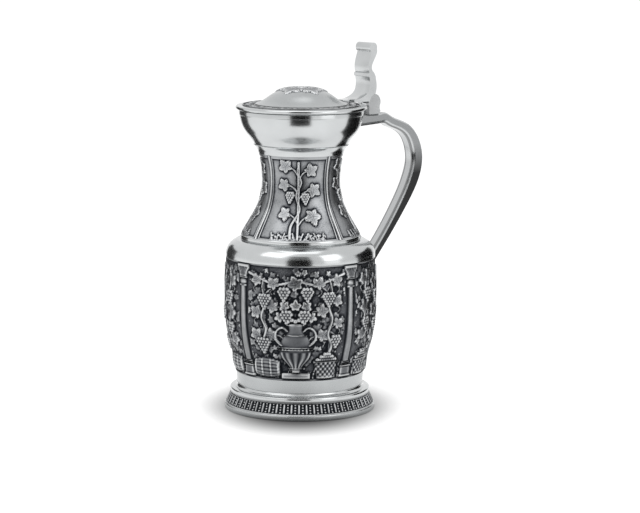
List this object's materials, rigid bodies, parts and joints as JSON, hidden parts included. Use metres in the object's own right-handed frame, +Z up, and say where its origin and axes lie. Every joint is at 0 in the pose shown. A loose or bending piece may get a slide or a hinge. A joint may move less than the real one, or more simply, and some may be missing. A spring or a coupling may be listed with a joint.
{
  "type": "wine carafe",
  "caption": "Lidded pewter wine flagon: footed drum with relief, waisted neck, cup-shaped mouth, hinged domed lid with thumbpiece and strap handle.",
  "frame": {"origin": "centre of the foot's underside, on the axis of the turned body", "axes": "+Z up along the body's axis, the handle and the lid's hinge towards +X"},
  "size_m": [0.1969, 0.1258, 0.3],
  "materials": {
    "polished_pewter": "polished",
    "satin_pewter": "satin",
    "antiqued_pewter": "antiqued, dark recesses and rubbed highlights"
  },
  "bodies": {
    "jug": {"foot_ring": "polished_pewter", "base_plate": "satin_pewter", "foot_ornament_band": "antiqued_pewter", "foot_step": "polished_pewter", "waist_band": "satin_pewter", "body_drum": "antiqued_pewter", "shoulder": "polished_pewter", "lower_neck_collar": "polished_pewter", "neck": "antiqued_pewter", "upper_neck_collar": "polished_pewter", "bowl": "polished_pewter", "bowl_rim": "polished_pewter", "hinge_pin": "satin_pewter", "hinge_lug_near": "satin_pewter", "hinge_lug_far": "satin_pewter", "handle": "satin_pewter", "handle_foot": "satin_pewter"},
    "lid": {"lid_plate": "polished_pewter", "lid_locating_rim": "satin_pewter", "lid_ornament_ring": "antiqued_pewter", "lid_dome": "polished_pewter", "lid_medallion": "antiqued_pewter", "thumbpiece": "satin_pewter"}
  },
  "joints": [
    {"name": "lid_hinge", "type": "hinge", "parent": "jug", "child": "lid", "pos_m": [0.076, 0, 0.25], "axis": [0, 1, 0], "range_deg": [0, 100]}
  ]
}
